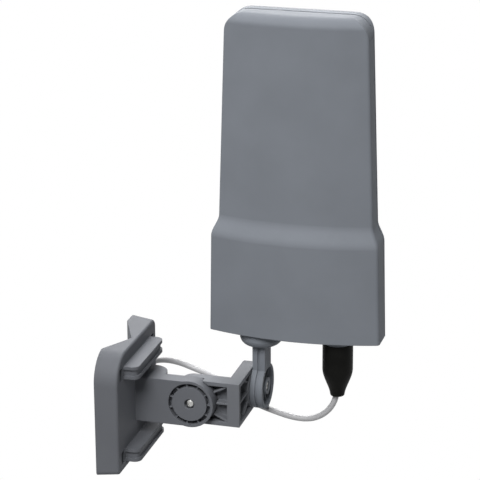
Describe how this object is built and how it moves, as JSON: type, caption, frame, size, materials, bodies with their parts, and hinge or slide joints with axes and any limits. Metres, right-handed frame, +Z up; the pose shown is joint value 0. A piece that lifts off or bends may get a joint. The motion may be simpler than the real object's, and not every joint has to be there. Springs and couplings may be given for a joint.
{
  "type": "television antenna",
  "caption": "Flat outdoor television antenna: tall bowed housing on a swivel stem, jointed to a wall and mast bracket, with a booted coaxial cable.",
  "frame": {"origin": "middle of the wall bracket's back face, on the middle plane of its mast notch", "axes": "+X out of the wall, -Y the way the housing faces, +Z up"},
  "size_m": [0.1797, 0.1144, 0.3113],
  "materials": {
    "moulded_grey": "fine moulded texture",
    "housing_grey": "fine satin texture",
    "black_rubber": "matte",
    "bright_steel": "bright zinc plate",
    "board_green": "solder mask",
    "radiator_sheet": "mill finish",
    "tin_plate": "tin plate",
    "nickel_brass": "nickel plate",
    "cable_white": "smooth jacket"
  },
  "bodies": {
    "bracket": {"wall_bracket": "moulded_grey", "roll_bolt": "bright_steel", "roll_washer": "bright_steel", "roll_nut": "bright_steel", "coax_cable": "cable_white"},
    "link": {"link_bracket": "moulded_grey", "tilt_bolt": "bright_steel", "tilt_washer": "bright_steel", "tilt_nut": "bright_steel"},
    "stem": {"stem": "moulded_grey", "swivel_screw": "bright_steel", "swivel_washer": "bright_steel"},
    "panel": {"front_cover": "housing_grey", "back_cover": "housing_grey", "housing_seal": "black_rubber", "cover_screws": "bright_steel", "circuit_board": "board_green", "board_screws": "bright_steel", "upper_radiator": "radiator_sheet", "lower_radiator": "radiator_sheet", "amplifier_shield": "tin_plate", "f_socket": "nickel_brass", "socket_nut": "nickel_brass", "socket_washer": "bright_steel", "f_plug_nut": "nickel_brass", "f_plug_body": "nickel_brass", "cable_boot": "black_rubber"}
  },
  "joints": [
    {"name": "roll", "type": "hinge", "parent": "bracket", "child": "link", "pos_m": [0.055, 0, 0], "axis": [0, 1, 0], "range_deg": [-10, 40], "deforming": ["coax_cable"]},
    {"name": "tilt", "type": "hinge", "parent": "link", "child": "stem", "pos_m": [0.0892, 0.0406, 0], "axis": [1, 0, 0], "range_deg": [-30, 30], "deforming": ["coax_cable"]},
    {"name": "swivel", "type": "hinge", "parent": "stem", "child": "panel", "pos_m": [0.094, 0.0406, 0.0422], "axis": [0, 0, 1], "range_deg": [-40, 40], "deforming": ["coax_cable"]}
  ]
}
